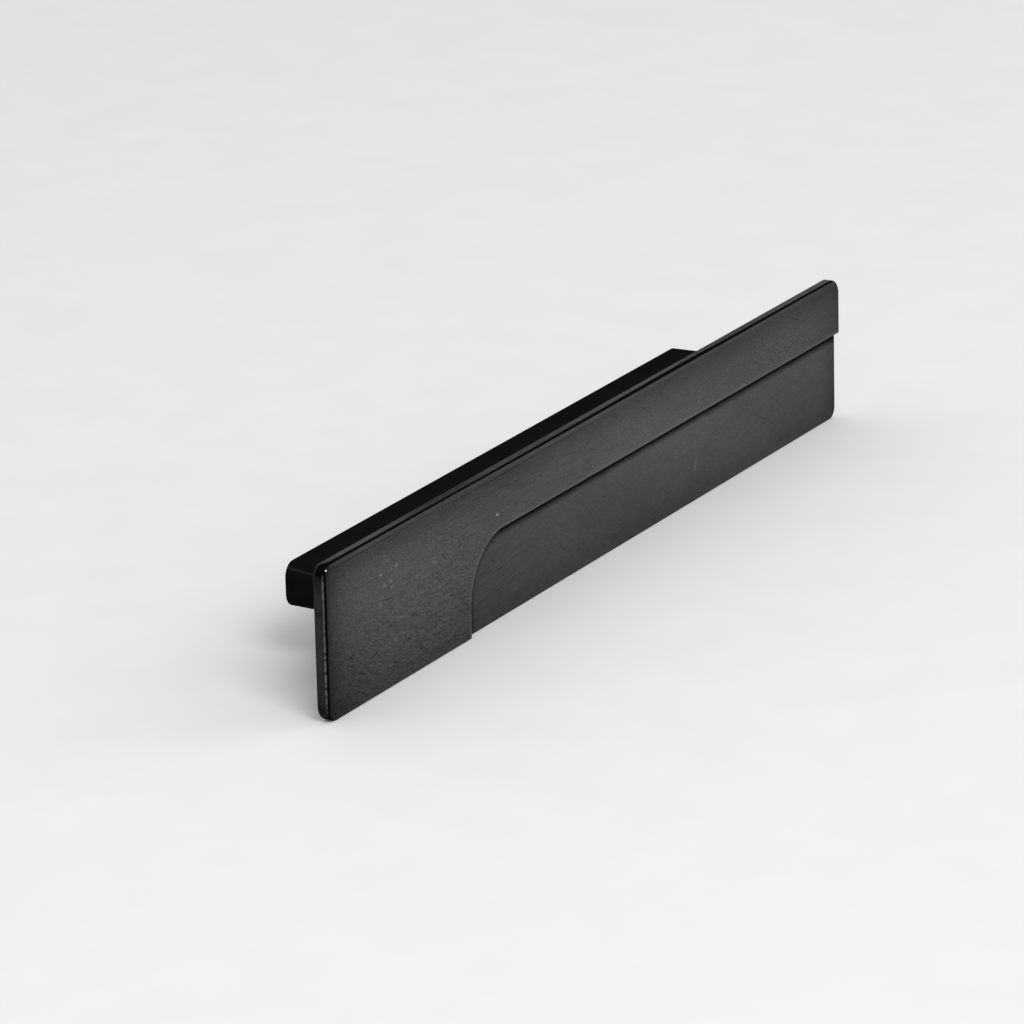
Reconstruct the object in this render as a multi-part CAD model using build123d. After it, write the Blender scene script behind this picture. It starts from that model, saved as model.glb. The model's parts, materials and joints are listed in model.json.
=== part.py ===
"""Cabinet pull handle: one casting, a flat front plate on a long base bar.

Frame: X runs along the handle, +Y into the surface it is screwed to, +Z up. The origin is in
the plane of that surface, midway between the two screw holes and at the middle of the base
bar's height. Sizes are in millimetres.
"""
from build123d import *

import os
from math import radians, tan

# Front plate, as seen from the front
plate_length = 200.0
plate_height = 29.5
plate_thickness = 2.3
top_left_radius = 2.2
top_right_radius = 3.2
bottom_left_radius = 3.4
bottom_right_radius = 2.3

# Recessed lower field: it leaves a full-height tab at the left and a band along the top
tab_width = 50.9
recess_height = 17.95
recess_depth = 1.15
step_curve_radius = 12.5

# Base bar behind the plate, measured where it stands on the surface
standoff = 21.5
bar_length = 150.0
bar_height = 8.6
bar_corner_radius = 2.7
bar_draft = 1.2

# Tapped holes for two M4 machine screws, bored to the root of the thread
hole_spacing = 128.0
hole_radius = 2.0
hole_depth = 11.0
drill_point_angle = 118.0
countersink_radius = 2.5
countersink_angle = 90.0

# Edges as cast and polished
front_edge_radius = 0.5
recess_edge_radius = 0.3
step_edge_radius = 0.15
back_edge_radius = 0.35
bar_foot_radius = 0.25
bar_root_radius = 1.2

# Where the plate's faces lie along Y, from the mounting surface out to the viewer
plate_back = -standoff
plate_front = plate_back - plate_thickness

# The plate's sides in X and Z, and how far a cutter runs past what it cuts
left_end = -plate_length / 2
right_end = plate_length / 2
bottom = -plate_height / 2
top = plate_height / 2
overrun = 5.0
touching = 0.001


def seen_from_front(y):
    """A sketch plane at depth y whose own x and y are the handle's X and Z."""
    return Plane(origin=(0, y, 0), x_dir=(1, 0, 0), z_dir=(0, -1, 0))


def edges_along(solid, sketch, y):
    """The edges of a solid at depth y that follow a sketch's outline."""
    outline = (seen_from_front(y) * sketch).wire()
    level = solid.edges().filter_by_position(Axis.Y, y - touching, y + touching)
    return [edge for edge in level if Vertex(edge @ 0.5).distance_to(outline) < touching]


def plate_outline():
    """The plate's rectangle, with a radius of its own at each corner."""
    corners = {
        (left_end, top): top_left_radius,
        (right_end, top): top_right_radius,
        (right_end, bottom): bottom_right_radius,
        (left_end, bottom): bottom_left_radius,
    }
    face = make_face(Polyline(*corners, close=True))
    for (x, z), radius in corners.items():
        face = fillet(face.vertices().sort_by_distance((x, z, 0))[0], radius)
    return face


def recess_outline():
    """The lower field, run out past the plate below and at the right, with one long curve."""
    corner = (left_end + tab_width, bottom + recess_height)
    width = right_end + overrun - corner[0]
    height = recess_height + overrun
    field = Pos(corner[0] + width / 2, corner[1] - height / 2) * Rectangle(width, height)
    return fillet(field.vertices().sort_by_distance((*corner, 0))[0], step_curve_radius)


def slab(outline, thickness, rim_radius):
    """A flat plate of one outline from the plate's back forward, its front rim rounded over."""
    plate = extrude(seen_from_front(plate_back) * outline, thickness)
    return fillet(edges_along(plate, outline, plate_back - thickness), rim_radius)


def front_plate():
    """The thin lower field joined to the full-thickness band and tab, with the step eased."""
    outline = plate_outline()
    field = recess_outline()
    raised = slab(outline, plate_thickness, front_edge_radius)
    raised -= extrude(seen_from_front(plate_back) * field, plate_thickness)
    raised = fillet(edges_along(raised, field, plate_front), step_edge_radius)
    plate = raised + slab(outline, plate_thickness - recess_depth, recess_edge_radius)
    return fillet(edges_along(plate, outline, plate_back), back_edge_radius)


def bar_section(growth=0.0):
    """The bar's rounded section, wider all round by the growth that its draft gives."""
    return RectangleRounded(
        bar_length + 2 * growth, bar_height + 2 * growth, bar_corner_radius + growth
    )


def base_bar():
    """The bar's full standoff, growing with the mould's draft towards the plate."""
    bar = extrude(seen_from_front(0) * bar_section(), standoff, taper=-bar_draft)
    return fillet(edges_along(bar, bar_section(), 0), bar_foot_radius)


def screw_hole(x):
    """One blind hole from the bar's back, drilled with a pointed drill and countersunk."""
    countersink_depth = (countersink_radius - hole_radius) / tan(radians(countersink_angle / 2))
    point_depth = hole_radius / tan(radians(drill_point_angle / 2))
    half = make_face(Polyline(
        (0, 0),
        (countersink_radius, 0),
        (hole_radius, -countersink_depth),
        (hole_radius, -hole_depth),
        (0, -hole_depth - point_depth),
        close=True,
    ))
    return Pos(x, 0, 0) * revolve(half, Axis.Y)


def pull_handle():
    """The whole casting: plate and bar run together with a root radius, then both holes."""
    body = front_plate() + base_bar()
    root = bar_section(standoff * tan(radians(bar_draft)))
    body = fillet(edges_along(body, root, plate_back), bar_root_radius)
    for x in (-hole_spacing / 2, hole_spacing / 2):
        body -= screw_hole(x)
    return body


os.makedirs("parts", exist_ok=True)
export_step(pull_handle(), "parts/pull_handle.step")
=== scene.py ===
# %% [markdown]
# # A cabinet pull with a stepped face
#
# The real thing is one zinc die casting: a flat plate that fingers hook behind, on a long bar
# that holds it clear of the surface. The bar is black and the plate is a satin dark grey.
# The casting comes in finished in shape, so this lesson is about its finish: three kinds of
# grain on the face, black rims, a worn arris, and the threads in its two screw holes.

# %% Load the casting
import json
import math

import bmesh
import bpy
from mathutils import Matrix, Vector


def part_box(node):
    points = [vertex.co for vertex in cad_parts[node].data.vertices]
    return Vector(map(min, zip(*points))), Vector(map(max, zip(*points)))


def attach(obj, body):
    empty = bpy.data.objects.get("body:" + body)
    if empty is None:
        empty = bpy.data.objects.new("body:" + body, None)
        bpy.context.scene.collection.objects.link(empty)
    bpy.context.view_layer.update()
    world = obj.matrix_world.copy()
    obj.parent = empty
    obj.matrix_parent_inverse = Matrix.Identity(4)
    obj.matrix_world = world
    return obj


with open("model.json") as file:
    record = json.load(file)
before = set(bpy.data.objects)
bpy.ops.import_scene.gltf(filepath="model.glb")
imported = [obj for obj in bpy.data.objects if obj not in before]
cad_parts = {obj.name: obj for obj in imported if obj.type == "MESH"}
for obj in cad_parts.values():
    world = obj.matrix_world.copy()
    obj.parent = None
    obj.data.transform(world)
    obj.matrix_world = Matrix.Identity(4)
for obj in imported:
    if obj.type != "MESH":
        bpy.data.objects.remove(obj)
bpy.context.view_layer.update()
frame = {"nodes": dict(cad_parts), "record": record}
handle = frame["nodes"]["pull_handle"]
MM = 0.001
print("casting:", [round(side / MM, 2) for side in handle.dimensions], "mm")

# %% [markdown]
# ## Sizes to draw by
#
# Blender works in metres, but a handle is thought of in millimetres, so every size here is in
# millimetres, and is multiplied by MM only where it goes into a mesh. The outside sizes, and the
# spacing and radius of the holes, are read from the frame. The plate's thickness, its step and
# the depth of its holes are the maker's.

# %% Sizes in millimetres
low, high = (Vector(corner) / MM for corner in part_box("pull_handle"))
LEFT, FRONT, BOTTOM = low
RIGHT, _, TOP = high
PLATE_THICKNESS = 2.3
BACK = FRONT + PLATE_THICKNESS
RECESS_DEPTH = 1.15
STEP_X = LEFT + 50.9
STEP_Z = BOTTOM + 17.95
STEP_CURVE = 12.5
screws = frame["record"]["mounts"][0]["dims"]
HOLE_X = screws["spacing_x_mm"] / 2
HOLE_RADIUS = screws["hole_r_mm"]
HOLE_DEPTH = 11.0
COUNTERSINK_RADIUS = 2.5
print("face:", round(RIGHT - LEFT, 1), "by", round(TOP - BOTTOM, 1), "mm")

# %% [markdown]
# ## Small helpers
#
# A colour picked on a screen is sRGB, while a shader wants linear light, so one function turns
# a hex value round. A node tree is long when it is written out, so one more function adds a
# node, sets its options, draws its curve if it has one, and fills its inputs with numbers or
# with links from other nodes. A node that is there already is filled by a function of its own,
# and the last one makes a material.


# %% Colour and node helpers
def linear(hex_colour):
    """An sRGB hex value as linear red, green, blue and alpha."""
    channels = [int(hex_colour[i:i + 2], 16) / 255 for i in (1, 3, 5)]
    return [c / 12.92 if c <= 0.04045 else ((c + 0.055) / 1.055) ** 2.4 for c in channels] + [1.0]


def fill(tree, node, inputs):
    """Fills a node's inputs, each with a number or with a link from another node."""
    for socket, value in inputs.items():
        if isinstance(value, bpy.types.Node):
            value = value.outputs[0]
        if isinstance(value, bpy.types.NodeSocket):
            tree.links.new(value, node.inputs[socket])
        else:
            node.inputs[socket].default_value = value


def add(tree, kind, inputs, curve=None, **settings):
    """Adds one node, with its options, its curve and its inputs."""
    family = "" if kind.startswith(("Geometry", "Node")) else "ShaderNode"
    node = tree.nodes.new(family + kind)
    for name, value in settings.items():
        setattr(node, name, value)
    if curve:
        node.mapping.use_clip = False
        points = node.mapping.curves[0].points
        points[0].location, points[1].location = curve[0], curve[-1]
        for at, level in curve[1:-1]:
            points.new(at, level)
        node.mapping.update()
    fill(tree, node, inputs)
    return node


def new_material(name, **inputs):
    """A material named for its finish, with plain values on the principled shader's own sockets."""
    material = bpy.data.materials.new(name)
    material.use_nodes = True
    shader = material.node_tree.nodes["Principled BSDF"]
    fill(material.node_tree, shader, {socket.replace("_", " "): inputs[socket] for socket in inputs})
    return material, material.node_tree, shader


print("helpers ready")

# %% [markdown]
# ## The black lacquer
#
# Such a pull is zinc alloy, cast in a steel mould, tumbled smooth and lacquered. First it is
# black all over. Carbon black in a lacquer full of matting agent throws back about half a
# percent of the light and has almost no gloss, so its specular level is close to nothing. One
# flat black would look cut out of paper, so slow noise mixes two blacks that are close together,
# and the lighter one gains towards the plate.
# A fine bump in specks of 0.3 mm stands for the matting agent. Its real grains are far finer, but
# they would not show at this size.


# %% Black lacquer
def millimetres(tree):
    """Where a point lies on the handle, in millimetres."""
    coordinates = add(tree, "TexCoord", {})
    return add(tree, "VectorMath", {0: coordinates.outputs["Object"], 3: 1 / MM}, operation="SCALE")


MATT = 0.0006
black_lacquer, tree, shader = new_material("matt_black_lacquer", Roughness=0.6, Specular_IOR_Level=MATT)
place = millimetres(tree)
x, y, z = add(tree, "SeparateXYZ", {0: place}).outputs
haze = add(tree, "TexNoise", {"Vector": place, "Scale": 1 / 6.0, "Detail": 4.0})
outward = add(tree, "MapRange", {0: y, 1: -1.0, 2: BACK, 3: -0.15, 4: 0.25})
haze = add(tree, "Math", {0: haze, 1: outward}, operation="ADD")
blacks = {0: haze, 6: linear("#0C0C0C"), 7: linear("#151515")}
black = add(tree, "Mix", blacks, data_type="RGBA").outputs[2]
specks = add(tree, "TexNoise", {"Vector": place, "Scale": 1 / 0.3})
bump = add(tree, "Bump", {"Strength": 0.2, "Distance": 0.02 * MM, "Height": specks})
print("plain black:", len(tree.nodes), "nodes")

# %% [markdown]
# ## A painted highlight on the bar, overspray and scuffs
#
# The rounded corner at each end of the bar gets a faint painted highlight, a lighter line which climbs a
# little on its way back from the plate. The plate's back has a breath of the front's grey blown over it,
# most of all round its edges, and the face that the bar stands on is scuffed. A painted mask could show
# all three, but a few sums on the place of a point do so without an image.


# %% Painted highlight, overspray and scuffs
def apart(tree, first, second):
    """How far apart two numbers are."""
    between = add(tree, "Math", {0: first, 1: second}, operation="SUBTRACT")
    return add(tree, "Math", {0: between}, operation="ABSOLUTE")


BAR_HIGHLIGHT_Z = 3.45
BAR_HIGHLIGHT_RISE = 0.085
BAR_ROUND_X = 73.4
OVERSPRAY_REACH = 14.0
# A faint painted highlight along the rounded corner at each end of the bar.
line_z = add(tree, "Math", {0: y, 1: BAR_HIGHLIGHT_RISE, 2: BAR_HIGHLIGHT_Z}, operation="MULTIPLY_ADD")
painted_bar_highlight = add(tree, "MapRange", {0: apart(tree, z, line_z), 1: 0.3, 2: 0.05, 4: 0.7})
across = add(tree, "Math", {0: x}, operation="ABSOLUTE")
at_ends = add(tree, "MapRange", {0: across, 1: BAR_ROUND_X, 2: BAR_ROUND_X + 0.5})
painted_bar_highlight = add(tree, "Math", {0: painted_bar_highlight, 1: at_ends}, operation="MULTIPLY")
on_bar = add(tree, "MapRange", {0: y, 1: BACK + 0.3, 2: BACK + 0.8})
painted_bar_highlight = add(tree, "Math", {0: painted_bar_highlight, 1: on_bar}, operation="MULTIPLY")
black = add(tree, "Mix", {0: painted_bar_highlight, 6: black, 7: linear("#242424")}, data_type="RGBA").outputs[2]
from_side = add(tree, "Math", {0: RIGHT, 1: across}, operation="SUBTRACT")
from_middle = add(tree, "Math", {0: z}, operation="ABSOLUTE")
from_top = add(tree, "Math", {0: TOP, 1: from_middle}, operation="SUBTRACT")
from_edge = add(tree, "Math", {0: from_side, 1: from_top}, operation="MINIMUM")
from_edge = add(tree, "Math", {0: haze, 1: 4.0, 2: from_edge}, operation="MULTIPLY_ADD")
overspray = add(tree, "MapRange", {0: from_edge, 1: OVERSPRAY_REACH, 2: 2.0, 3: 0.3})
on_plate = add(tree, "MapRange", {0: y, 1: BACK + 0.3, 2: BACK + 0.1})
overspray = add(tree, "Math", {0: overspray, 1: on_plate}, operation="MULTIPLY")
black = add(tree, "Mix", {0: overspray, 6: black, 7: linear("#343434")}, data_type="RGBA").outputs[2]
scuffed = add(tree, "MapRange", {0: y, 1: -0.08, 2: -0.04})
scuffed = add(tree, "Math", {0: scuffed, 1: haze}, operation="MULTIPLY")
black = add(tree, "Mix", {0: scuffed, 6: black, 7: linear("#343434")}, data_type="RGBA").outputs[2]
fill(tree, shader, {"Base Color": black, "Normal": bump})
print("black lacquer:", len(tree.nodes), "nodes")

# %% [markdown]
# ## The satin grey coat
#
# Over the black, the plate alone gets a thin coat of dark grey with a little metal powder in it, which
# is what makes it satin. The whole finish is drawn as one number, the tone: how much of the grey a point
# shows. Every rim, scratch and grain makes it larger or smaller, and so do the painted highlights and
# painted shade laid into it. The tree first measures where a point lies, in millimetres.

# %% Start the grey coat
grey_coat, tree, shader = new_material("satin_grey_lacquer", Roughness=0.5)
place = millimetres(tree)
x, y, z = add(tree, "SeparateXYZ", {0: place}).outputs
print("grey coat started")

# %% [markdown]
# ## How far a point is from the step
#
# The step follows two straight lines joined by a long arc. The distance to such a line is a well-known
# formula: measure from the arc's centre, keep only the parts beyond it, and take the length. It is
# positive in the recess and negative on the raised face, so it can lay a painted shadow at the foot of
# the step and a painted highlight on the raised edge, arc and straight alike. It also tells which of the
# two faces a point lies behind, and how far, which is what the rims are drawn by.

# %% Distance to the step
from_arc_x = add(tree, "Math", {0: STEP_X + STEP_CURVE, 1: x}, operation="SUBTRACT")
from_arc_z = add(tree, "Math", {0: z, 1: STEP_Z - STEP_CURVE}, operation="SUBTRACT")
beyond_x = add(tree, "Math", {0: from_arc_x, 1: 0.0}, operation="MAXIMUM")
beyond_z = add(tree, "Math", {0: from_arc_z, 1: 0.0}, operation="MAXIMUM")
beyond = add(tree, "CombineXYZ", {0: beyond_x, 1: beyond_z})
outside = add(tree, "VectorMath", {0: beyond}, operation="LENGTH").outputs["Value"]
inside = add(tree, "Math", {0: from_arc_x, 1: from_arc_z}, operation="MAXIMUM")
inside = add(tree, "Math", {0: inside, 1: 0.0}, operation="MINIMUM")
reach = add(tree, "Math", {0: outside, 1: inside}, operation="ADD")
from_step = add(tree, "Math", {0: STEP_CURVE, 1: reach}, operation="SUBTRACT")
recess = add(tree, "MapRange", {0: from_step, 1: -0.05, 2: 0.05})
raised = add(tree, "Math", {0: 1.0, 1: recess}, operation="SUBTRACT")
behind = add(tree, "Math", {0: y, 1: FRONT}, operation="SUBTRACT")
behind = add(tree, "Math", {0: recess, 1: -RECESS_DEPTH, 2: behind}, operation="MULTIPLY_ADD")
print("step curve of", STEP_CURVE, "mm")

# %% [markdown]
# ## Painted highlight and shade over the height
#
# A broad painted highlight makes the face lightest a little above its middle, with painted shade towards
# the top and bottom. A gradient could only rise and fall evenly. A Float Curve over the height of the
# plate is drawn point by point, and can dip just under the top rim as well.

# %% Painted highlight and shade over the height
height = add(tree, "MapRange", {0: z, 1: BOTTOM, 2: TOP})
# Painted highlight across the middle of the face, with painted shade towards the top and bottom.
painted_highlight_over_height = add(tree, "FloatCurve", {1: height}, curve=[
    (0.0, 0.55), (0.08, 0.57), (0.12, 0.645), (0.2, 0.74), (0.3, 0.82), (0.4, 0.88), (0.5, 0.935),
    (0.62, 0.985), (0.68, 0.98), (0.76, 0.93), (0.82, 0.86), (0.88, 0.7), (0.92, 0.6),
    (0.945, 0.545), (0.955, 0.56), (0.965, 0.61), (0.975, 0.67), (1.0, 0.7)])
print("tone over", round(TOP - BOTTOM, 1), "mm of height")

# %% [markdown]
# ## Painted light and shade along the face
#
# Both ends carry painted shade too. At the left the fall is longer low down than high up, and at the
# right it is shorter in the recess than on the band, so the distance from the end is scaled before its
# curve is read. Another curve gives a broad painted highlight in soft patches that fall to the right.
# The recess also gets a little painted shade beside the tab.

# %% Painted light and shade over the length
END_FADE = 20.0
length = add(tree, "MapRange", {0: x, 1: LEFT, 2: RIGHT})
spread = add(tree, "MapRange", {0: height, 1: 0.1, 2: 0.75, 3: 0.55})
from_left = add(tree, "Math", {0: x, 1: LEFT}, operation="SUBTRACT")
from_left = add(tree, "Math", {0: from_left, 1: spread}, operation="MULTIPLY")
from_left = add(tree, "MapRange", {0: from_left, 2: END_FADE})
# Painted shade towards the left end.
painted_shade_left = add(tree, "FloatCurve", {1: from_left}, curve=[
    (0.0, 0.08), (0.025, 0.12), (0.045, 0.17), (0.09, 0.34), (0.145, 0.46), (0.3, 0.71),
    (0.6, 0.92), (1.0, 1.0)])
from_right = add(tree, "Math", {0: RIGHT, 1: x}, operation="SUBTRACT")
spread = add(tree, "MapRange", {0: recess, 3: 1.0, 4: 2.3})
from_right = add(tree, "Math", {0: from_right, 1: spread}, operation="MULTIPLY")
from_right = add(tree, "MapRange", {0: from_right, 2: END_FADE})
# Painted shade towards the right end.
painted_shade_right = add(tree, "FloatCurve", {1: from_right}, curve=[
    (0.0, 0.5), (0.095, 0.58), (0.165, 0.65), (0.3, 0.72), (0.46, 0.8), (0.75, 0.94), (1.0, 1.0)])
lean = add(tree, "Math", {0: z, 1: 2.4, 2: x}, operation="MULTIPLY_ADD")
lean = add(tree, "MapRange", {0: lean, 1: LEFT, 2: RIGHT})
# A broad painted highlight in soft patches that fall to the right.
painted_broad_highlight = add(tree, "FloatCurve", {1: lean}, curve=[
    (0.0, 1.06), (0.1, 1.03), (0.2, 1.02), (0.3, 0.95), (0.385, 0.91), (0.46, 0.88), (0.53, 0.96),
    (0.6, 1.03), (0.675, 1.09), (0.75, 1.0), (0.825, 0.93), (0.9, 0.9), (1.0, 0.92)])
# Painted shade in the recess beside the tab.
painted_shade_by_tab = add(tree, "MapRange", {0: x, 1: STEP_X + 3, 2: STEP_X + 34, 3: 0.73})
painted_shade_by_tab = add(tree, "Math", {0: painted_shade_by_tab, 1: raised}, operation="MAXIMUM")
print("tone over", round(RIGHT - LEFT, 1), "mm of length")

# %% [markdown]
# ## A thin line under the top rim
#
# A thin dark line wanders along about a millimetre below the top rim. It has hardly any depth, so it is
# drawn and not modelled. One curve gives its place below the rim and another its strength. No sprayed
# coat is quite even either, so slow noise of a few percent is laid over the whole tone.

# %% Thin line and cloudiness
DARK_LINE_REACH = 0.24
dark_line_down = add(tree, "FloatCurve", {1: length}, curve=[
    (0.0, 1.02), (0.2, 1.04), (0.25, 1.27), (0.3, 1.34), (0.35, 1.31), (0.4, 1.21), (0.45, 1.27),
    (0.525, 1.14), (0.625, 1.22), (0.75, 1.04), (1.0, 1.04)])
down = add(tree, "Math", {0: TOP, 1: z}, operation="SUBTRACT")
dark_line = add(tree, "MapRange", {0: apart(tree, down, dark_line_down), 1: DARK_LINE_REACH, 2: 0.06})
dark_line_share = add(tree, "FloatCurve", {1: length}, curve=[
    (0.0, 0.62), (0.06, 0.62), (0.13, 0.42), (0.25, 0.34), (0.3, 0.5), (0.4, 0.52), (0.46, 0.36),
    (0.55, 0.18), (0.65, 0.2), (0.75, 0.34), (0.82, 0.14), (1.0, 0.1)])
dark_line = add(tree, "Math", {0: dark_line, 1: dark_line_share}, operation="MULTIPLY")
dark_line = add(tree, "Math", {0: 1.0, 1: dark_line}, operation="SUBTRACT")
mottle = add(tree, "TexNoise", {"Vector": place, "Scale": 1 / 14.0, "Detail": 3.0})
mottle = add(tree, "MapRange", {0: mottle, 1: 0.3, 2: 0.7, 3: 0.95, 4: 1.05})
tone = painted_highlight_over_height
for share in (painted_shade_left, painted_shade_right, painted_broad_highlight, painted_shade_by_tab, dark_line, mottle):
    tone = add(tree, "Math", {0: tone, 1: share}, operation="MULTIPLY")
print("a line", 2 * DARK_LINE_REACH, "mm wide at most")

# %% [markdown]
# ## The powder in the coat
#
# A satin coat holds a fine powder that gives it an even grain all over. Its spots are longer one
# way, because the part was wiped while wet, along a line that falls a little to the right. To draw
# them, space is turned until that line lies level, and scaled so that one cell of noise measures
# 0.7 by 0.34 mm. The spots come out at about half of that. Real powder is finer still, but it
# would not show at this size.

# %% Powder
WIPE_FALL = 17
POWDER_CELL = (0.7, 1.0, 0.34)
turning = {"Vector": place, "Angle": math.radians(-WIPE_FALL)}
wiped = add(tree, "VectorRotate", turning, rotation_type="Y_AXIS")
powder = add(tree, "VectorMath", {0: wiped, 1: POWDER_CELL}, operation="DIVIDE")
powder = add(tree, "TexNoise", {"Vector": powder, "Scale": 1.0, "Roughness": 0.7})
powder = add(tree, "Math", {0: powder, 1: 0.5}, operation="SUBTRACT")
print("powder in cells of", POWDER_CELL[::2], "mm")

# %% [markdown]
# ## A leather-like skin
#
# The tab has a leather-like skin, left by tumbling: wrinkles that fall the same way, fine cracks
# that join up into cells, and small dark pits, most of them low down. Noise alone gives no cells.
# A Voronoi texture's distance to the nearest edge does, once slower noise has bent it.

# %% Leather-like skin
WRINKLE = (3.0, 1.0, 0.5)
CRACKED_CELL = (2.8, 1.0, 0.85)
PIT_CELL = (1.7, 1.0, 0.42)
low_down = add(tree, "MapRange", {0: z, 1: 8.0, 2: -8.0})
wrinkles = add(tree, "VectorMath", {0: wiped, 1: WRINKLE}, operation="DIVIDE")
wrinkles = add(tree, "TexNoise", {"Vector": wrinkles, "Scale": 1.0})
wrinkles = add(tree, "Math", {0: wrinkles, 1: 0.5}, operation="SUBTRACT")
wrinkle_depth = add(tree, "MapRange", {0: low_down, 3: 0.22, 4: 0.55})
wrinkles = add(tree, "Math", {0: wrinkles, 1: wrinkle_depth}, operation="MULTIPLY")
wander = add(tree, "TexNoise", {"Vector": wiped, "Scale": 1 / 1.5}).outputs["Color"]
cells = add(tree, "VectorMath", {0: wiped, 1: CRACKED_CELL}, operation="DIVIDE")
cells = add(tree, "VectorMath", {0: wander, 1: (0.9, 0.9, 0.9), 2: cells}, operation="MULTIPLY_ADD")
cells = add(tree, "TexVoronoi", {"Vector": cells, "Scale": 1.0}, feature="DISTANCE_TO_EDGE")
cracks = add(tree, "MapRange", {0: cells, 1: 0.12, 2: 0.02})
crack_depth = add(tree, "MapRange", {0: low_down, 3: -0.14, 4: -0.4})
cracks = add(tree, "Math", {0: cracks, 1: crack_depth}, operation="MULTIPLY")
pits = add(tree, "VectorMath", {0: wiped, 1: PIT_CELL}, operation="DIVIDE")
pits = add(tree, "TexNoise", {"Vector": pits, "Scale": 1.0})
pit_limit = add(tree, "MapRange", {0: low_down, 3: 0.33, 4: 0.41})
pits = add(tree, "Math", {0: pit_limit, 1: pits}, operation="SUBTRACT")
pits = add(tree, "MapRange", {0: pits, 2: 0.07, 4: -0.26})
skin = add(tree, "Math", {0: wrinkles, 1: cracks}, operation="ADD")
skin = add(tree, "Math", {0: skin, 1: pits}, operation="ADD")
skin = add(tree, "Math", {0: skin, 1: 0.05}, operation="ADD")
print("skin falls by", WIPE_FALL, "degrees")

# %% [markdown]
# ## Brushed lines
#
# The band is brushed along its length, and the recess in three sweeps: a little up to the right,
# then steeply down, then up again. A sweep has its rise in degrees and the two places along X
# between which it takes over. Brushing is noise that is stretched along the stroke, about
# 0.28 mm from line to line. Real abrasive leaves finer lines, but those would not show at this
# size. A slower noise moves them up and down a little first, so that they waver as strokes by
# hand do.

# %% Brushed lines on the band and the recess
LINE_SPACING = 0.28
STROKE_CELL = (6.0, 1.0, LINE_SPACING)
WAVER = (0.0, 0.0, 2.0)
SWEEPS = ((6, -56, -50), (-34, -28, -16), (6, 8, 24))


def brushed_lines(tree, place):
    """Noise in long thin cells, one for each stroke."""
    lines = add(tree, "VectorMath", {0: place, 1: STROKE_CELL}, operation="DIVIDE")
    return add(tree, "TexNoise", {"Vector": lines, "Scale": 1.0, "Detail": 3.0, "Roughness": 0.6})


waver = add(tree, "TexNoise", {"Vector": place, "Scale": 1 / 5.0, "Detail": 1.0}).outputs["Color"]
waver = add(tree, "VectorMath", {0: waver, 1: WAVER, 2: place}, operation="MULTIPLY_ADD")
brushed = brushed_lines(tree, waver)
sweep = brushed
for rise, start, end in SWEEPS:
    turning = {"Vector": waver, "Angle": math.radians(rise)}
    turned = add(tree, "VectorRotate", turning, rotation_type="Y_AXIS")
    lines = brushed_lines(tree, turned)
    share = add(tree, "MapRange", {0: x, 1: start, 2: end}, interpolation_type="SMOOTHSTEP")
    sweep = add(tree, "Mix", {0: share, 2: sweep, 3: lines})
brushing = add(tree, "Mix", {0: recess, 2: brushed, 3: sweep})
brushing = add(tree, "Math", {0: brushing, 1: 0.5}, operation="SUBTRACT")
print("lines", LINE_SPACING, "mm apart")

# %% [markdown]
# ## One grain for the whole face
#
# The powder lies everywhere. The skin covers the tab, fades out along the band and shows again
# near the band's right end, with a trace of it everywhere else. The brushed lines set in over
# the tab and grow weaker to the right. Each layer is multiplied by its share at a point and the
# three are added up, because one number can then serve both the colour and the relief.

# %% One grain for the whole face
SKIN_FADES = (STEP_X + 20, STEP_X - 6)
CRACKLE_START = 48.0
CRACKLE_END = 92.0
fades = {0: x, 1: SKIN_FADES[0], 2: SKIN_FADES[1]}
on_tab = add(tree, "MapRange", fades, interpolation_type="SMOOTHSTEP")
on_tab = add(tree, "Math", {0: on_tab, 1: raised}, operation="MULTIPLY")
lines_start = add(tree, "MapRange", {0: x, 1: -80.0, 2: -58.0})
lines_end = add(tree, "MapRange", {0: x, 1: -25.0, 2: 0.0, 3: 1.25, 4: 0.7})
lines_low = add(tree, "MapRange", {0: x, 1: -35.0, 2: -5.0, 3: 1.1, 4: 0.6})
line_share = add(tree, "Mix", {0: recess, 2: lines_end, 3: lines_low})
line_share = add(tree, "Math", {0: lines_start, 1: line_share}, operation="MULTIPLY")
skin_share = add(tree, "MapRange", {0: on_tab, 3: 0.2})
fades = {0: x, 1: CRACKLE_START, 2: CRACKLE_START + 16, 4: 0.95}
crackled = add(tree, "MapRange", fades, interpolation_type="SMOOTHSTEP")
crackled = add(tree, "Math", {0: crackled, 1: raised}, operation="MULTIPLY")
fades = {0: x, 1: CRACKLE_END, 2: CRACKLE_END - 12}
uncrackled = add(tree, "MapRange", fades, interpolation_type="SMOOTHSTEP")
skin_share = add(tree, "Math", {0: crackled, 1: uncrackled, 2: skin_share}, operation="MULTIPLY_ADD")
powder_share = add(tree, "MapRange", {0: on_tab, 3: 1.13, 4: 1.3})
powder_share = add(tree, "Mix", {0: recess, 2: powder_share, 3: 0.7})
grain = None
for layer, share in ((powder, powder_share), (skin, skin_share), (brushing, line_share)):
    layer = add(tree, "Math", {0: layer, 1: share}, operation="MULTIPLY")
    grain = add(tree, "Math", {0: grain, 1: layer}, operation="ADD") if grain else layer
grain_tone = add(tree, "Math", {0: grain, 1: 1.0}, operation="ADD")
tone = add(tree, "Math", {0: tone, 1: grain_tone}, operation="MULTIPLY")
print("grain mixed between", [round(limit, 1) for limit in SKIN_FADES], "mm")
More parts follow.
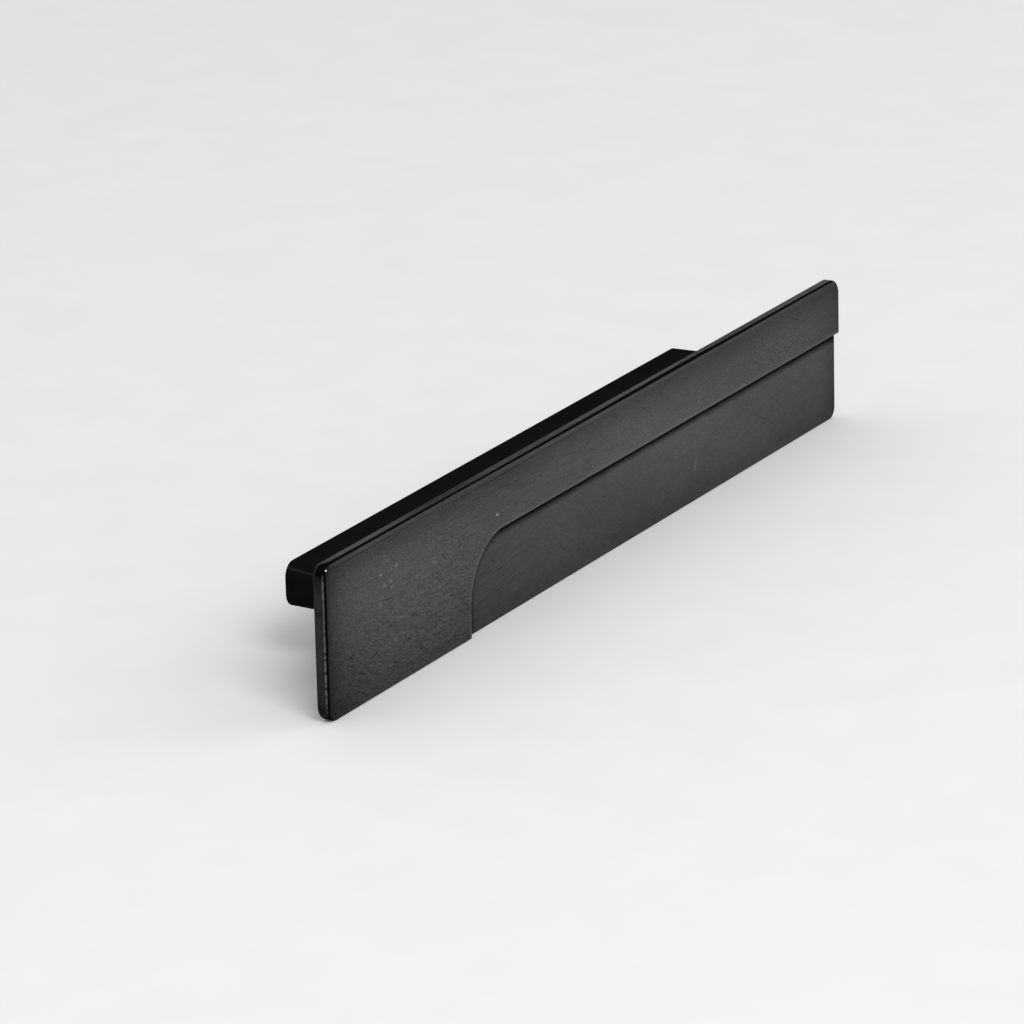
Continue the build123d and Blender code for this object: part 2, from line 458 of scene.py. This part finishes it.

# %% [markdown]
# ## Marks of use, and one painted dark corner
#
# A pull picks up marks: bright specks where the coat is chipped to metal, rubbed dots, dark pits and
# thin dark scratches. The first row is no mark but a painted dark reflection on the rounded top left
# corner. Each is a soft ellipse on the face, long and thin for a scratch. A row gives its centre, its
# length and width in millimetres, how steeply it falls to the right in degrees, and how much lighter or
# darker it is. An image could hold them too, but a table is easier to read and to change.

# %% Marks
MARKS_AND_PAINTED_CORNER = (
    # Painted dark reflection on the rounded top left corner, not a mark of use.
    (-99.2, 14.2, 2.7, 2.6, 0, -1.0),
    (-38.8, 6.2, 1.1, 0.55, 17, 3.0),
    (-79.0, 10.5, 1.8, 0.7, 17, 0.65),
    (-78.1, 9.5, 1.2, 0.6, 17, 0.52),
    (-79.4, 9.5, 2.0, 0.6, 17, 0.35),
    (-75.2, 7.7, 1.3, 1.0, 17, 0.75),
    (-76.9, 7.5, 0.9, 0.5, 17, 0.75),
    (-80.7, 7.5, 1.3, 0.55, 5, 0.95),
    (-77.3, 5.5, 1.1, 0.9, 17, 0.75),
    (-79.4, 5.2, 1.4, 0.6, 17, 1.38),
    (-76.8, 4.1, 1.4, 0.9, 17, 0.5),
    (-80.2, 3.1, 1.1, 0.6, 17, 0.5),
    (-81.0, 2.2, 1.1, 0.8, 17, 0.69),
    (-74.9, 0.0, 2.0, 1.0, 17, 0.38),
    (-61.9, 4.1, 2.2, 1.4, 17, 0.31),
    (-58.8, 1.0, 1.3, 0.6, 17, 0.62),
    (-60.3, -1.1, 1.3, 0.6, 17, 0.4),
    (-61.5, -3.8, 1.3, 0.6, 17, 0.56),
    (-68.0, 3.4, 2.2, 0.9, 17, 0.25),
    (-76.2, -6.0, 1.4, 0.9, 17, 0.44),
    (-79.6, -6.3, 1.3, 0.6, 17, 0.38),
    (-77.2, -7.6, 1.1, 0.6, 17, 0.44),
    (-74.3, -2.4, 7.0, 0.35, 17, 0.4),
    (-71.8, -6.0, 6.5, 0.35, 17, 0.45),
    (46.1, -8.0, 1.2, 0.8, 17, 0.25),
    (44.9, -10.0, 2.0, 0.8, 17, 0.19),
    (40.1, -7.6, 3.5, 1.0, 103, 0.45),
    (-78.5, -2.1, 1.1, 0.6, 17, -0.56),
    (-77.8, -2.9, 1.1, 0.6, 17, -0.44),
    (-56.5, -8.3, 1.1, 0.6, 17, -0.56),
    (-60.8, -9.9, 0.8, 0.9, 17, -0.44),
    (-67.4, -10.5, 1.3, 0.6, 17, -0.38),
    (-38.8, -2.9, 1.2, 0.6, 17, -0.32),
    (-38.4, 0.6, 1.8, 0.6, 17, -0.31),
    (78.1, -8.0, 1.4, 0.6, 17, -0.26),
    (-88.3, 7.5, 6.7, 0.3, 4, -0.35),
    (-83.5, 7.4, 4.9, 0.3, -2, -0.45),
    (-78.8, 2.3, 6.2, 0.3, 9, -0.48),
    (-67.4, 1.6, 2.9, 0.6, -67, -0.38),
    (-68.7, -3.7, 3.3, 0.35, 32, -0.55),
    (-60.6, 0.6, 2.7, 0.35, 35, -0.45),
    (-58.1, 3.8, 2.8, 0.35, 34, -0.45),
    (-91.8, -4.5, 3.0, 0.4, 42, -0.55),
    (-91.6, -4.6, 2.7, 0.4, -7, -0.5),
    (-88.0, -8.8, 3.5, 0.45, 20, -0.68),
    (-76.1, -10.5, 2.9, 0.45, 15, -0.68),
    (-97.2, -4.6, 2.6, 0.4, -1, -0.55),
    (-83.3, -6.7, 3.0, 0.5, -18, -0.54),
    (-91.4, -6.4, 2.2, 0.45, 19, -0.68),
    (-54.2, 12.5, 2.4, 0.6, 54, -0.38),
    (-13.0, 13.2, 0.5, 0.9, 0, -0.4),
    (-31.9, 6.6, 2.1, 0.4, 44, -0.38),
    (65.6, 7.5, 3.6, 0.35, 43, -0.28),
    (70.2, 5.8, 3.8, 0.35, 42, -0.28),
    (72.3, 6.2, 3.6, 0.35, 40, -0.3),
    (80.4, 5.9, 3.2, 0.35, 41, -0.26),
    (83.7, 4.8, 1.9, 0.4, 77, -0.26),
    (59.5, -1.3, 7.5, 0.3, 41, -0.22),
    (67.9, -5.7, 12.0, 0.3, 28, -0.24),
    (73.3, -10.6, 8.0, 0.3, 33, -0.22),
    (-36.4, -5.1, 3.7, 0.35, -3, -0.5),
    (-36.9, -11.2, 4.4, 0.35, 88, -0.34),
    (30.6, -4.3, 3.6, 0.4, 122, -0.2),
    (-13.7, -3.6, 3.4, 0.35, 38, -0.22),
    (-9.9, -5.6, 6.1, 0.35, 22, -0.18),
    (-13.2, -8.2, 11.8, 0.35, 27, -0.15),
)
marks_and_painted_corner = None
for at_x, at_z, long, wide, fall, change in MARKS_AND_PAINTED_CORNER:
    there = add(tree, "VectorMath", {0: place, 1: (at_x, FRONT, at_z)}, operation="SUBTRACT")
    turning = {"Vector": there, "Angle": math.radians(-fall)}
    there = add(tree, "VectorRotate", turning, rotation_type="Y_AXIS")
    there = add(tree, "VectorMath", {0: there, 1: (2 / long, 0.0, 2 / wide)}, operation="MULTIPLY")
    there = add(tree, "VectorMath", {0: there}, operation="LENGTH").outputs["Value"]
    mark = add(tree, "MapRange", {0: there, 1: 1.15, 2: 0.55, 4: change})
    marks_and_painted_corner = add(tree, "Math", {0: marks_and_painted_corner, 1: mark}, operation="ADD") if marks_and_painted_corner else mark
marks_and_painted_corner = add(tree, "Math", {0: marks_and_painted_corner, 1: 1.0}, operation="ADD")
tone = add(tree, "Math", {0: tone, 1: marks_and_painted_corner}, operation="MULTIPLY")
print("marks:", len(MARKS_AND_PAINTED_CORNER))

# %% [markdown]
# ## Painted light and shade on the sides of the plate
#
# The sides carry painted light and shade, made uneven by noise. The top side is brightest near its ends
# and past its middle and dullest where the tab ends, and the left side is darkest at its corners. One
# Float Curve along the length and one down the left end draw that. The arris behind the upper left
# corner gets a little painted highlight.

# %% Painted light and shade on the sides
at_end = add(tree, "MapRange", {0: x, 1: LEFT + 1.3, 2: LEFT + 0.45}, interpolation_type="SMOOTHSTEP")
# Painted light along the top side, and painted shade down the left side.
top_side_light = add(tree, "FloatCurve", {1: length}, curve=[
    (0.0, 0.1), (0.006, 0.25), (0.012, 0.44), (0.03, 0.64), (0.05, 0.74), (0.085, 0.7), (0.13, 0.6),
    (0.17, 0.27), (0.23, 0.13), (0.27, 0.2), (0.31, 0.41), (0.4, 0.43), (0.47, 0.57), (0.53, 0.68),
    (0.59, 0.76), (0.64, 0.71), (0.69, 0.48), (0.72, 0.41), (0.76, 0.39), (0.8, 0.37), (0.87, 0.58),
    (0.94, 0.68), (0.98, 0.66), (1.0, 0.45)])
left_side_shade = add(tree, "FloatCurve", {1: height}, curve=[
    (0.0, 0.03), (0.06, 0.03), (0.093, 0.06), (0.127, 0.17), (0.195, 0.24), (0.3, 0.27), (0.4, 0.32),
    (0.5, 0.3), (0.67, 0.3), (0.72, 0.2), (0.754, 0.29), (0.805, 0.26), (0.873, 0.18), (0.907, 0.11),
    (0.935, 0.06), (0.96, 0.03), (1.0, 0.03)])
painted_side_light = add(tree, "Mix", {0: at_end, 2: top_side_light, 3: left_side_shade})
# A little painted highlight on the arris behind the upper left corner.
back_arris_highlight = add(tree, "MapRange", {0: behind, 1: PLATE_THICKNESS - 0.55, 2: PLATE_THICKNESS - 0.3})
near_end = add(tree, "MapRange", {0: x, 1: LEFT + 2.0, 2: LEFT + 0.8})
back_arris_highlight = add(tree, "Math", {0: back_arris_highlight, 1: near_end}, operation="MULTIPLY")
back_light = add(tree, "MapRange", {0: z, 1: TOP - 3.0, 2: TOP - 0.5, 3: 0.04, 4: 0.3})
back_arris_highlight = add(tree, "Math", {0: back_arris_highlight, 1: back_light}, operation="MULTIPLY")
painted_side_light = add(tree, "Math", {0: painted_side_light, 1: back_arris_highlight}, operation="ADD")
cloud = add(tree, "TexNoise", {"Vector": place, "Scale": 1 / 1.1, "Detail": 3.0})
cloud = add(tree, "MapRange", {0: cloud, 1: 0.25, 2: 0.75, 3: 0.6, 4: 1.4})
painted_side_light = add(tree, "Math", {0: painted_side_light, 1: cloud}, operation="MULTIPLY")
on_side = add(tree, "MapRange", {0: behind, 1: 0.2, 2: 0.3})
tone = add(tree, "Mix", {0: on_side, 2: tone, 3: painted_side_light})
print("side tones over", round(RIGHT - LEFT), "mm along and", round(TOP - BOTTOM, 1), "mm up")

# %% [markdown]
# ## Painted shadow under the step and a painted highlight on its edge
#
# The corner under the step gets a painted shadow, which is wider beside the tab. The raised edge of the
# step gets a thin painted highlight. Both are read from the distance to the step, so they follow its
# curve by themselves.

# %% Painted shadow and highlight at the step
SHADOW_BY_TAB = 3.1
SHADOW_BY_BAND = 2.15
# Painted shadow in the corner under the step.
step_shadow_width = add(tree, "MapRange", {0: x, 1: STEP_X + 2, 2: STEP_X + 12, 3: SHADOW_BY_TAB, 4: SHADOW_BY_BAND})
step_shadow_wobble = add(tree, "TexNoise", {"Vector": place, "Scale": 1 / 3.0, "Detail": 3.0})
step_shadow_width = add(tree, "Math", {0: step_shadow_wobble, 1: 0.8, 2: step_shadow_width}, operation="MULTIPLY_ADD")
painted_step_shadow = add(tree, "Math", {0: from_step, 1: step_shadow_width}, operation="DIVIDE")
painted_step_shadow = add(tree, "MapRange", {0: painted_step_shadow, 1: 0.93, 2: 0.39})
painted_step_shadow = add(tree, "Math", {0: painted_step_shadow, 1: recess}, operation="MULTIPLY")
step_shadow_share = add(tree, "MapRange", {0: x, 1: STEP_X + 2, 2: STEP_X + 14, 3: 0.86, 4: 0.96})
painted_step_shadow = add(tree, "Math", {0: painted_step_shadow, 1: step_shadow_share}, operation="MULTIPLY")
# A thin painted highlight on the raised edge of the step.
painted_step_highlight = add(tree, "MapRange", {0: from_step, 1: -1.2, 2: 0.0})
painted_step_highlight = add(tree, "FloatCurve", {1: painted_step_highlight}, curve=[(0.0, 0.0), (0.5, 0.3), (0.75, 1.0), (1.0, 0.3)])
painted_step_highlight = add(tree, "Math", {0: painted_step_highlight, 1: raised}, operation="MULTIPLY")
tone = add(tree, "Math", {0: painted_step_highlight, 1: 0.36, 2: tone}, operation="MULTIPLY_ADD")
print("foot of the step:", SHADOW_BY_TAB, "to", SHADOW_BY_BAND, "mm wide")

# %% [markdown]
# ## Painted dark reflections on the rims
#
# The rounded rims get a painted dark reflection, a black line round the face. On top it takes in part of
# the side too, more in some places than in others. At both ends it starts right at the face. The line
# lies between two depths behind the face, and a curve along the length gives the further one. A rim
# picked out by hand would need picking again whenever the casting changes.

# %% Painted dark rims
DARKEST_TONE = 0.045
# Painted dark reflection on the rounded rims.
black_back = add(tree, "FloatCurve", {1: length}, curve=[
    (0.0, 1.85), (0.006, 1.75), (0.01, 1.4), (0.02, 0.95), (0.04, 0.87), (0.16, 0.75), (0.3, 0.62),
    (0.45, 0.7), (0.54, 0.83), (0.67, 1.0), (0.75, 0.75), (0.9, 0.6), (1.0, 0.5)])
below_corner = add(tree, "MapRange", {0: z, 1: TOP - 1.5, 2: TOP - 2.1})
below_corner = add(tree, "Math", {0: below_corner, 1: at_end}, operation="MULTIPLY")
black_back = add(tree, "Mix", {0: below_corner, 2: black_back, 3: 0.12})
right_rim = add(tree, "MapRange", {0: x, 1: RIGHT - 0.75, 2: RIGHT - 0.4})
right_rim = add(tree, "Math", {0: right_rim, 1: raised}, operation="MULTIPLY")
either_end = add(tree, "Math", {0: at_end, 1: right_rim}, operation="MAXIMUM")
black_front = add(tree, "MapRange", {0: x, 1: -50.0, 2: -30.0, 3: 0.145, 4: 0.09})
black_front = add(tree, "Mix", {0: either_end, 2: black_front, 3: -0.1})
painted_dark_rim = add(tree, "Math", {0: behind, 1: black_front}, operation="SUBTRACT")
painted_dark_rim = add(tree, "MapRange", {0: painted_dark_rim, 1: -0.05, 2: 0.04})
rim_end = add(tree, "Math", {0: behind, 1: black_back}, operation="SUBTRACT")
rim_end = add(tree, "MapRange", {0: rim_end, 1: 0.08, 2: -0.04})
painted_dark_rim = add(tree, "Math", {0: painted_dark_rim, 1: rim_end}, operation="MULTIPLY")
painted_rims_and_shadow = add(tree, "Math", {0: painted_dark_rim, 1: painted_step_shadow}, operation="MAXIMUM")
kept = add(tree, "MapRange", {0: painted_rims_and_shadow, 3: 1.0, 4: 0.0})
tone = add(tree, "Math", {0: tone, 1: kept}, operation="MULTIPLY")
tone = add(tree, "Math", {0: tone, 1: DARKEST_TONE}, operation="MAXIMUM")
print("rims and the rest so far:", len(tree.nodes), "nodes")

# %% [markdown]
# ## The left arris: worn coat and painted highlight
#
# A thin light line along the left arris is partly a painted highlight and partly coat worn to grey
# metal, unbroken high up and in beads below one small gap. The line is held between limits on every
# side, and a noise with a hard threshold makes the beads, because a soft one would only blur them.

# %% Worn line and painted highlight
GAP_Z = -2.45
# A line on the left arris, part painted highlight and part worn coat.
arris_line_front = add(tree, "MapRange", {0: behind, 1: 0.11, 2: 0.17})
arris_line_side = add(tree, "MapRange", {0: behind, 1: 0.52, 2: 0.3})
arris_line_x = add(tree, "MapRange", {0: x, 1: LEFT + 0.35, 2: LEFT + 0.25})
arris_line_top = add(tree, "MapRange", {0: z, 1: TOP - 1.4, 2: TOP - 1.8})
arris_line_low = add(tree, "MapRange", {0: z, 1: BOTTOM + 1.9, 2: BOTTOM + 2.5})
beads = add(tree, "TexNoise", {"Vector": place, "Scale": 1 / 0.9, "Detail": 1.0})
highlight_and_metal = add(tree, "MapRange", {0: beads, 1: 0.35, 2: 0.65, 3: 0.75, 4: 1.45})
over_line = add(tree, "FloatCurve", {1: height}, curve=[
    (0.0, 0.4), (0.1, 0.5), (0.14, 0.85), (0.24, 1.05), (0.34, 1.4), (0.41, 1.05), (0.44, 1.45),
    (0.48, 1.0), (0.7, 0.82), (0.77, 0.92), (0.88, 1.1), (0.91, 0.95), (0.92, 0.45), (1.0, 0.4)])
highlight_and_metal = add(tree, "Math", {0: highlight_and_metal, 1: over_line}, operation="MULTIPLY")
beads = add(tree, "MapRange", {0: beads, 1: 0.37, 2: 0.44})
gap = add(tree, "MapRange", {0: apart(tree, z, GAP_Z), 1: 0.15, 2: 0.35, 3: 0.25})
beads = add(tree, "Math", {0: beads, 1: gap}, operation="MULTIPLY")
unbroken = add(tree, "MapRange", {0: z, 1: -1.5, 2: -0.5})
worn_and_highlight = add(tree, "Math", {0: beads, 1: unbroken}, operation="MAXIMUM")
for limit in (arris_line_front, arris_line_side, arris_line_x, arris_line_top, arris_line_low):
    worn_and_highlight = add(tree, "Math", {0: worn_and_highlight, 1: limit}, operation="MULTIPLY")
tone = add(tree, "Mix", {0: worn_and_highlight, 2: tone, 3: highlight_and_metal})
print("worn line from", round(BOTTOM + 1.9, 1), "to", round(TOP - 1.4, 1), "mm")

# %% [markdown]
# ## A painted glint
#
# One painted glint sits on the rounded top corner. It is an egg-shaped patch round one point, many times
# lighter than the coat. A small lamp's real glint would look alike from one side only, while a patch
# stays put from everywhere.

# %% Painted glint
GLINT_AT = (LEFT + 0.98, FRONT + 0.07, TOP - 0.78)
GLINT_HALVES = (0.21, 0.22, 0.15)
GLINT_TONE = 14.0
# A painted glint on the rounded top corner.
to_glint = add(tree, "VectorMath", {0: place, 1: GLINT_AT}, operation="SUBTRACT")
to_glint = add(tree, "VectorMath", {0: to_glint, 1: GLINT_HALVES}, operation="DIVIDE")
to_glint = add(tree, "VectorMath", {0: to_glint}, operation="LENGTH").outputs["Value"]
painted_glint = add(tree, "MapRange", {0: to_glint, 1: 1.1, 2: 0.7})
tone = add(tree, "Mix", {0: painted_glint, 2: tone, 3: GLINT_TONE})
print("speck at", [round(value, 2) for value in GLINT_AT], "mm")

# %% [markdown]
# ## Wire the grey coat
#
# The colour is a plain neutral grey times the tone, which carries the painted light and shade. The gloss
# is low and even on the face, and almost none is left on the painted dark rims and the painted shadow
# under the step. The grain also goes into a Bump node as a height of a few hundredths of a millimetre,
# so that it catches light as well as colour.

# %% Colour, gloss and relief of the grey coat
SATIN = 0.06
grey = add(tree, "VectorMath", {0: linear("#464646")[:3], 3: tone}, operation="SCALE")
# Almost no gloss on the painted dark rims and the painted shadow.
gloss = add(tree, "MapRange", {0: painted_rims_and_shadow, 3: SATIN, 4: MATT})
relief = add(tree, "Bump", {"Strength": 0.6, "Distance": 0.03 * MM, "Height": grain})
fill(tree, shader, {"Base Color": grey, "Specular IOR Level": gloss, "Normal": relief})
print("grey coat:", len(tree.nodes), "nodes")

# %% [markdown]
# ## Bare metal in the screw holes
#
# The two holes are drilled and tapped after lacquering, so they are bare zinc. A fresh cut in
# zinc is a slightly blue metal grey. The tap leaves turned lines a few hundredths of a
# millimetre apart, drawn coarser here so that they show.

# %% Bare zinc
bare_zinc, tree, shader = new_material("bare_cut_zinc", Metallic=1.0, Roughness=0.35)
place = millimetres(tree)
turned = add(tree, "TexNoise", {"Vector": place, "Scale": 1 / 0.2, "Detail": 3.0})
zincs = {0: turned, 6: linear("#8C8F92"), 7: linear("#C2C4C6")}
cut = add(tree, "Mix", zincs, data_type="RGBA").outputs[2]
fill(tree, shader, {"Base Color": cut})
print("bare zinc:", len(tree.nodes), "nodes")

# %% [markdown]
# ## Which face gets which coat
#
# The casting is one solid, so its faces are dressed by where they lie. Painting them by hand
# would have to be redone whenever the casting changes. A Geometry Nodes modifier with Set
# Material does it by rule instead, and leaves the mesh itself alone: black first, then grey in
# front of the plate's back, then bare metal inside the holes.

# %% Dress the casting
coats = bpy.data.node_groups.new("coats_by_place", "GeometryNodeTree")
coats.interface.new_socket("Geometry", in_out="INPUT", socket_type="NodeSocketGeometry")
coats.interface.new_socket("Geometry", in_out="OUTPUT", socket_type="NodeSocketGeometry")
bare_shape = add(coats, "NodeGroupInput", {})
position = add(coats, "GeometryNodeInputPosition", {})
middle = add(coats, "VectorMath", {0: position, 3: 1 / MM}, operation="SCALE")
x, y, z = add(coats, "SeparateXYZ", {0: middle}).outputs
in_front = add(coats, "Math", {0: y, 1: BACK - 0.2}, operation="LESS_THAN")
across = add(coats, "Math", {0: x}, operation="ABSOLUTE")
across = add(coats, "Math", {0: across, 1: HOLE_X}, operation="SUBTRACT")
spoke = add(coats, "CombineXYZ", {0: across, 2: z})
from_axis = add(coats, "VectorMath", {0: spoke}, operation="LENGTH").outputs["Value"]
near_axis = add(coats, "Math", {0: from_axis, 1: 0.98 * COUNTERSINK_RADIUS}, operation="LESS_THAN")
behind = add(coats, "Math", {0: y, 1: BACK + 1.0}, operation="GREATER_THAN")
in_hole = add(coats, "Math", {0: near_axis, 1: behind}, operation="MULTIPLY")
coated = add(coats, "GeometryNodeSetMaterial", {"Geometry": bare_shape, "Material": black_lacquer})
for chosen, coat in ((in_front, grey_coat), (in_hole, bare_zinc)):
    coated = add(coats, "GeometryNodeSetMaterial",
                 {"Geometry": coated, "Selection": chosen, "Material": coat})
add(coats, "NodeGroupOutput", {0: coated})
handle.data.materials.clear()
handle.data.materials.append(black_lacquer)
dressing = handle.modifiers.new("coats by place", "NODES")
dressing.node_group = coats
print("coats:", [coat.name for coat in (black_lacquer, grey_coat, bare_zinc)])

# %% [markdown]
# ## The screw threads
#
# Each hole takes an M4 screw, with a pitch of 0.7 mm. The casting has plain bores of the
# screw's outer size, because a thread's many small faces would slow every check on it.
# Here the thread is a ridge that winds down the bore, with a blunt V for its section. A Screw
# modifier on that section would do, but its ends stay open. A loop that lays one section after
# another and caps both ends makes a closed form.

# %% Thread ridge
THREAD_PITCH = 0.7
THREAD_CREST = HOLE_RADIUS - 0.35
THREAD_ROOT = HOLE_RADIUS + 0.02
THREAD_START = 0.7
THREAD_FLAT = 0.06
STEPS_PER_TURN = 32


def thread_ridge(name, centre_x):
    """A right-hand thread down a bore from the handle's back, as one closed mesh."""
    mesh = bmesh.new()
    turns = (HOLE_DEPTH - 1.5 * THREAD_START) / THREAD_PITCH
    section = ((THREAD_ROOT, -0.4), (THREAD_CREST, -THREAD_FLAT), (THREAD_CREST, THREAD_FLAT),
               (THREAD_ROOT, 0.4))
    rings = []
    for step in range(int(turns * STEPS_PER_TURN) + 1):
        angle = math.tau * step / STEPS_PER_TURN
        deep = THREAD_START + THREAD_PITCH * step / STEPS_PER_TURN
        ring = []
        for radius, shift in section:
            along = deep + shift * THREAD_PITCH
            point = Vector((centre_x + radius * math.cos(angle), -along, radius * math.sin(angle)))
            ring.append(mesh.verts.new(point * MM))
        rings.append(ring)
    for ring, after in zip(rings, rings[1:]):
        for a in range(4):
            b = (a + 1) % 4
            mesh.faces.new((ring[a], ring[b], after[b], after[a]))
    mesh.faces.new(rings[0])
    mesh.faces.new(rings[-1])
    bmesh.ops.recalc_face_normals(mesh, faces=mesh.faces)
    data = bpy.data.meshes.new(name)
    mesh.to_mesh(data)
    mesh.free()
    ridge = bpy.data.objects.new(name, data)
    bpy.context.scene.collection.objects.link(ridge)
    data.materials.append(bare_zinc)
    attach(ridge, "root")
    return ridge


threads = [thread_ridge("thread_left", -HOLE_X), thread_ridge("thread_right", HOLE_X)]
print("threads:", [len(thread.data.polygons) for thread in threads], "faces")

# %% [markdown]
# ## Floor
#
# A plain pale floor, wide enough to fill the view behind the handle, touches the plate's lower
# edge. A matt white board throws back about four fifths of the light. Its shade drifts in clouds
# of about 17 mm, far coarser than its fibres, because those would not show. One square is enough,
# since nothing of the board shows but its top.

# %% Floor
CLOUDS_PER_METRE = 60
FLOOR_HALF = 6000
board, tree, shader = new_material("matt_white_board", Roughness=0.8, Specular_IOR_Level=0.2)
drift = {"Vector": millimetres(tree), "Scale": CLOUDS_PER_METRE * MM, "Detail": 3.0}
clouds = add(tree, "TexNoise", drift)
whites = {0: clouds, 6: linear("#E4E4E3"), 7: linear("#EAEAE9")}
white = add(tree, "Mix", whites, data_type="RGBA").outputs[2]
fill(tree, shader, {"Base Color": white})
mesh = bpy.data.meshes.new("floor")
square = [(-1, -1), (1, -1), (1, 1), (-1, 1)]
corners = [Vector((a * FLOOR_HALF, b * FLOOR_HALF, BOTTOM)) * MM for a, b in square]
mesh.from_pydata(corners, [], [(0, 1, 2, 3)])
floor = bpy.data.objects.new("floor", mesh)
bpy.context.scene.collection.objects.link(floor)
mesh.materials.append(board)
print("floor at", round(BOTTOM, 2), "mm")

# %% [markdown]
# ## Camera
#
# The handle is seen from its left end, a little from above, through a long lens from over a
# metre away. The angles were worked out from the picture, from how the plate's corners and the
# bar's ends line up.

# %% Camera
VIEW_AZIMUTH = 59.903
VIEW_ELEVATION = 18.415
VIEW_ROLL = -1.404
VIEW_DISTANCE = 1183.1
FOCAL_LENGTH = 225.49
SENSOR_WIDTH = 36.0
AIM = Vector((-33.43, FRONT, 5.13))
azimuth, elevation, roll = (math.radians(angle) for angle in (VIEW_AZIMUTH, VIEW_ELEVATION, VIEW_ROLL))
level = Vector((math.sin(azimuth), math.cos(azimuth), 0))
forward = math.cos(elevation) * level - math.sin(elevation) * Vector((0, 0, 1))
level_right = Vector((math.cos(azimuth), -math.sin(azimuth), 0))
level_up = level_right.cross(forward)
right = math.cos(roll) * level_right + math.sin(roll) * level_up
up = math.cos(roll) * level_up - math.sin(roll) * level_right
camera_data = bpy.data.cameras.new("camera")
camera_data.lens = FOCAL_LENGTH
camera_data.sensor_width = SENSOR_WIDTH
camera_data.clip_end = 100.0
camera = bpy.data.objects.new("camera", camera_data)
bpy.context.scene.collection.objects.link(camera)
turn = Matrix((right, up, -forward)).transposed().to_4x4()
camera.matrix_world = Matrix.Translation((AIM - VIEW_DISTANCE * forward) * MM) @ turn
bpy.context.scene.camera = camera
print("camera at", [round(value / MM) for value in camera.location], "mm")

# %% [markdown]
# ## Light
#
# Soft studio light at a plain level: one large softbox from the upper left front, a weaker one
# from the right, and an even pale world that fills the shadows. An image of a studio could light
# it as well, but two lamps are easier to move and need no file.


# %% Lamps and world
def softbox(name, at, size, power):
    """A square area lamp that faces the handle."""
    lamp = bpy.data.lights.new(name, "AREA")
    lamp.size = size * MM
    lamp.energy = power
    stand = bpy.data.objects.new(name, lamp)
    bpy.context.scene.collection.objects.link(stand)
    stand.location = Vector(at) * MM
    stand.rotation_euler = (-Vector(at)).to_track_quat("-Z", "Y").to_euler()
    return stand


key_light = softbox("key_softbox", (-900, -1100, 1300), 900, 18.0)
fill_light = softbox("fill_softbox", (1200, -1200, 700), 900, 5.0)
world = bpy.data.worlds.new("studio")
bpy.context.scene.world = world
world.use_nodes = True
tree = world.node_tree
sky = tree.nodes["Background"]
sky.inputs["Color"].default_value = linear("#FFFFFF")
sky.inputs["Strength"].default_value = 0.7
print("lamps:", key_light.name, fill_light.name)

# %% [markdown]
# ## Finish
#
# Standard view transform keeps each colour as it was written.

# %% Set the view transform
bpy.context.scene.view_settings.view_transform = "Standard"
